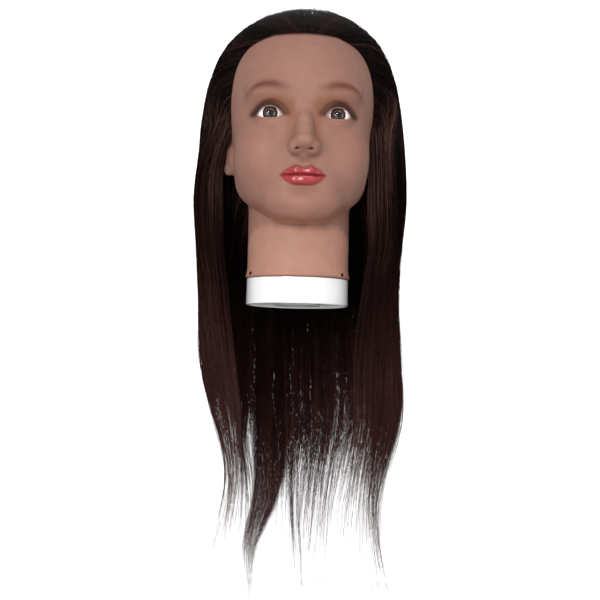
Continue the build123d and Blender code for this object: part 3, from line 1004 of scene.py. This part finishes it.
def hanging_ends(x0, clump, strays):
    """How low each strand ends: so that the hair thins evenly, with one lock longer than the rest."""
    count = len(x0)
    width = 6
    near, _ = np.histogram(x0, np.arange(-120, 121, width))
    place = np.clip(((x0 + 120) / width).astype(int), 0, len(near) - 1)
    layers = random.random(count) * near[place] / width * 2 * STRAND_RADIUS * 0.8
    end_z = np.interp(layers, THINNING_LAYERS, THINNING_Z)
    end_z += 26 * step(-38, -62, x0) - 4 * step(20, 70, x0)
    end_z += random.normal(0, 9, count)[clump] + random.normal(0, 6, count)
    in_lock = (np.abs(x0 - LOCK_X[-1]) < LOCK_HALF) & ~strays
    lock_z = np.clip(-222 + random.normal(0, 30, count), -301 + 22 * random.random(count) ** 2, -130)
    return np.where(in_lock, lock_z, np.clip(end_z, -284, -30))


def strand_paths(roots):
    count = len(roots)
    side, even = hanging_turn(roots)
    start_z = np.minimum(HANG_Z, roots[:, 2])
    aims = unit(hanging_place(side, even, np.full(count, 0.5), start_z) - CENTRE)
    looks = unit(roots - CENTRE)
    angle = np.arccos(np.clip((aims * looks).sum(-1), -1, 1))
    above = roots[:, 2] > HANG_Z
    far = angle + 0.6 * above + random.normal(0, 0.25, count)
    layer = np.empty(count)
    for one in (-1, 1):
        mine = np.nonzero(side == one)[0]
        for band in np.array_split(mine[np.argsort(even[mine])], 20):
            layer[band] = ranked(far[band])
    layer = np.clip(layer**0.7, 0.02, 0.99)
    # Over the head: the direction swings from the root's to the hanging place's, lifted a little.
    place = hanging_place(side, even, layer, start_z)
    aims = unit(place - CENTRE)
    t = np.linspace(0, 1, CAP_PATH)[None, :, None]
    angle = np.arccos(np.clip((aims * looks).sum(-1), -0.999, 0.999))[:, None, None]
    swing = np.sin((1 - t) * angle) * looks[:, None] + np.sin(t * angle) * aims[:, None]
    swing = swing / np.sin(angle)
    swing = unit(swing + np.sin(np.pi * t) * np.array([0, 0.12, 0.20]) * np.minimum(angle, 1))
    flat = swing.reshape(-1, 3)
    scalp = scalp_reach(flat).reshape(count, -1)
    outside = reach_of(in_hair, flat).reshape(count, -1)
    outside = np.maximum(outside - 1, scalp + 3)
    travelled = t[..., 0] * angle[..., 0] * 95
    rise = step(-8, 55, travelled) * layer[:, None] ** 0.7
    comb = np.sin(side * even * 240) + 0.7 * np.sin(side * even * 97 + 1)
    radius = scalp + 0.3 + (outside - scalp) * rise + 0.7 * comb[:, None] * step(4, 30, travelled)
    radius[:, 0] = scalp[:, 0] - 0.8
    miss = np.sqrt(((place - CENTRE) ** 2).sum(-1)) - radius[:, -1]
    radius += miss[:, None] * step(0.35, 1, t[..., 0]) * above[:, None]
    cap = CENTRE + swing * radius[..., None]
    cap[~above] = roots[~above, None]
    # Hanging: straight down in its layer, drawn towards a clump's middle on the way.
    leader = random.integers(0, count, CLUMPS)
    spot = hanging_place(side, even, layer, np.zeros(count))
    own = np.array([np.argmin(((spot[leader] - s) ** 2).sum(-1)) for s in spot])
    own = leader[own]
    low_spot = hanging_place(side, even, layer, np.full(count, -100.0))
    strays = random.random(count) < 0.2
    end_z = hanging_ends(low_spot[:, 0], own, strays)
    s = np.linspace(0, 1, PATH - CAP_PATH)[None]
    z = start_z[:, None] + (end_z - start_z)[:, None] * s
    drop = np.clip((HANG_Z - z) / 340, 0, 1.2)
    draw = 0.28 * drop**1.5 * random.uniform(0.4, 1.15, (count, 1))
    even_now = even[:, None] + (even[own] - even)[:, None] * draw
    layer_now = layer[:, None] + (layer[own] - layer)[:, None] * draw
    hang = hanging_place(side[:, None], even_now, layer_now, z)
    free = np.exp(-(start_z[:, None] - z) / 26)[..., None]
    hang += np.where(above[:, None], 0, roots - hang[:, 0])[:, None] * free
    # Waves: slow ones shared by a clump, small ones of its own, and a few stray strands.
    drifted(hang, low_spot, strays)
    for amount, low, high, shared in ((2.4, 150, 300, True), (0.9, 110, 240, False)):
        who = own if shared else np.arange(count)
        for axis in (0, 1):
            length = random.uniform(low, high, count)[who, None]
            phase = random.uniform(0, 2 * np.pi, count)[who, None]
            size = amount * random.uniform(0.3, 1, count)[who, None] * np.minimum(drop * 1.5, 1)
            hang[..., axis] += size * np.sin(2 * np.pi * z / length + phase)
    stray = (random.random(count) < 0.012) * random.uniform(2, 6, count)
    outwards = unit(np.stack([hang[..., 0], hang[..., 1] - 20, 0 * z], -1))
    hang += outwards * (stray[:, None] * step(0.1, 0.9, s))[..., None]
    path = np.concatenate([cap, hang], 1)
    # The bend from the head into the hanging part is rounded off.
    soft = bell(np.arange(1, PATH - 1) - CAP_PATH, 7)[None, :, None]
    for _ in range(16):
        path[:, 1:-1] += soft * 0.25 * (path[:, :-2] - 2 * path[:, 1:-1] + path[:, 2:])
    return path, side, even


def evened(paths):
    """The paths with fewer points, closer together near the root."""
    share = np.linspace(0, 1, SHAFT) ** 1.2
    steps = np.sqrt((np.diff(paths, axis=1) ** 2).sum(-1))
    along = np.concatenate([np.zeros((len(paths), 1)), np.cumsum(steps, 1)], 1)
    shafts = np.empty((len(paths), SHAFT, 3))
    for i, (path, lengths) in enumerate(zip(paths, along)):
        for axis in range(3):
            shafts[i, :, axis] = np.interp(share * lengths[-1], lengths, path[:, axis])
    return shafts


def tubes(shafts, thickness):
    """Each strand as a closed three-sided tube which thins towards its tip."""
    along = unit(np.gradient(shafts, axis=1))
    axis = np.stack([0 * shafts[..., 0], 0 * shafts[..., 0] + 5, np.minimum(shafts[..., 2], 190)], -1)
    across = unit(np.cross(along, unit(shafts - axis)))
    third = np.cross(along, across)
    t = np.linspace(0, 1, SHAFT)
    taper = np.interp(t, [0, 0.06, 0.45, 0.8, 1], [0.7, 1, 0.95, 0.6, 0.25])
    radius = (thickness[:, None] * taper)[..., None, None]
    ring = np.radians([90, 210, 330])
    points = shafts[:, :, None] + radius * (
        np.cos(ring)[:, None] * across[:, :, None] + np.sin(ring)[:, None] * third[:, :, None]
    )
    i = np.arange(SHAFT - 1)[:, None] * 3
    k = np.arange(3)[None]
    a, b = i + k, i + (k + 1) % 3
    sides = np.concatenate([np.stack([a, b, b + 3], -1), np.stack([a, b + 3, a + 3], -1)]).reshape(-1, 3)
    last = (SHAFT - 1) * 3
    faces = np.concatenate([sides, [[2, 1, 0], [last, last + 1, last + 2]]])
    faces = faces[None] + (np.arange(len(shafts)) * SHAFT * 3)[:, None, None]
    return points.reshape(-1, 3), faces.reshape(-1, 3)


def hair_material():
    """Colour by strand: u picks the strand's column, v runs from its root to its tip."""
    hair = Material("dark_hair", Roughness=0.36)
    uv = hair.add("ShaderNodeUVMap", uv_map="OFBake").outputs["UV"]
    split = hair.add("ShaderNodeSeparateXYZ", {"Vector": uv})
    column = hair.math("FLOOR", hair.math("MULTIPLY", split.outputs["X"], COLUMNS))
    own = hair.add("ShaderNodeTexWhiteNoise", {"W": column}, noise_dimensions="1D").outputs["Value"]
    group = hair.math("FLOOR", hair.math("DIVIDE", column, STREAK_COLUMNS))
    group = hair.math("ADD", hair.math("MULTIPLY", group, 7.3), 0.5)
    streak = hair.add("ShaderNodeTexWhiteNoise", {"W": group}, noise_dimensions="1D").outputs["Value"]
    shade = hair.math("ADD", hair.math("MULTIPLY", own, 0.4), hair.math("MULTIPLY", streak, 0.6))
    colour = hair.ramp(
        shade,
        (0.20, (0.0018, 0.0010, 0.0009)),
        (0.60, (0.0042, 0.0021, 0.0019)),
        (0.78, (0.018, 0.0080, 0.0068)),
        (0.92, (0.140, 0.065, 0.052)),
    )
    wander = hair.add(
        "ShaderNodeCombineXYZ",
        {"X": hair.math("MULTIPLY", column, 3.7), "Y": hair.math("MULTIPLY", split.outputs["Y"], 5.0)},
    )
    patch = hair.ramp(hair.noise(1.0, 2.0, wander.outputs[0]), (0.3, (0.75,) * 3), (0.7, (1.3,) * 3))
    colour = hair.mix(1.0, colour, patch, "MULTIPLY")
    # Darker along the middle of each strand's length, where the hair hangs in shadow by the neck, and
    # lighter near root and tip: painted shade and painted light. The shine follows the same ramp.
    shade_along = hair.ramp(
        split.outputs["Y"], (0.0, (1.2,) * 3), (0.25, (1.2,) * 3), (0.42, (0.32,) * 3),
        (0.68, (0.28,) * 3), (0.85, (0.8,) * 3), (1.0, (1.2,) * 3),
    )
    colour = hair.mix(1.0, colour, shade_along, "MULTIPLY")
    tip = hair.math("POWER", split.outputs["Y"], 5.0)
    hair.set("Base Color", hair.mix(hair.math("MULTIPLY", tip, 0.75), colour, (0.14, 0.048, 0.044, 1)))
    hair.set("Specular IOR Level", hair.math("MULTIPLY", shade_along, 0.2))
    hair.set("Specular Tint", (0.85, 0.58, 0.52, 1))
    return hair.data


def add_hair():
    roots = root_places()
    paths, side, even = strand_paths(roots)
    shafts = evened(paths)
    thickness = STRAND_RADIUS * random.uniform(0.7, 1.25, len(roots))
    streak = (side * even * 150 + random.normal(0, 0.5, len(roots))).astype(int)
    column = (streak * STREAK_COLUMNS + random.integers(0, STREAK_COLUMNS, len(roots))) % COLUMNS
    turn = round_head(roots)
    material = hair_material()
    left = side > 0
    low = roots[:, 2] < 216
    region = np.where(low & (roots[:, 2] < 140), "hair_nape", "hair_back").astype("<U16")
    region[low & (turn < 142)] = "hair_side_right"
    region[low & (turn < 142) & left] = "hair_side_left"
    region[~low] = "hair_crown_right"
    region[~low & left] = "hair_crown_left"
    region[~low & (turn < 62) & (above_hairline(roots) < 26)] = "hair_fringe"
    for node in sorted(set(region)):
        chosen = np.nonzero(region == node)[0]
        chosen = chosen[np.argsort((side * (1 - even))[chosen])]
        parts = np.array_split(chosen, math.ceil(len(chosen) / PIECE_STRANDS))
        for number, part in enumerate(parts, 1):
            points, faces = tubes(shafts[part], thickness[part])
            piece = new_piece(f"{node}_strands_{number}", points, faces, node, material)
            vertex = faces.reshape(-1)
            strand, step_along = vertex // (SHAFT * 3), vertex % (SHAFT * 3) // 3
            u = (column[part][strand] + np.array([0.15, 0.5, 0.85])[vertex % 3]) / COLUMNS
            v = 0.01 + 0.98 * step_along / (SHAFT - 1)
            put(piece.data.uv_layers.new(name="OFBake").data, "uv", np.stack([u, v], -1))


add_hair()
add_eyes()
add_fillings()


def dress_cad():
    """Materials for the moulded and turned parts that keep their CAD shapes."""
    plastic = Material("glossy_white_plastic", Roughness=0.16, Coat_Weight=0.35)
    plastic.mottle(plastic.noise(35.0, 3.0, plastic.place()), (0.93, 0.93, 0.93), (0.96, 0.96, 0.955))
    plastic.bump(plastic.noise(900.0, 2.0, plastic.place()), 0.00005, 0.25)
    socket = Material("socket_plastic", Roughness=0.5)
    socket.mottle(socket.noise(500.0, 3.0, socket.place()), (0.50, 0.50, 0.50), (0.60, 0.60, 0.59))
    steel = Material("dark_pin_steel", Roughness=0.35, Metallic=1.0)
    steel.mottle(steel.noise(800.0, 3.0, steel.place()), (0.02, 0.018, 0.018), (0.07, 0.06, 0.06))
    for node, material in (("neck_base", plastic), ("post_socket", socket), ("neck_pins", steel)):
        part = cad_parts[node]
        for slot in part.material_slots:
            slot.material = material.data
        if not part.material_slots:
            part.data.materials.append(material.data)


dress_cad()
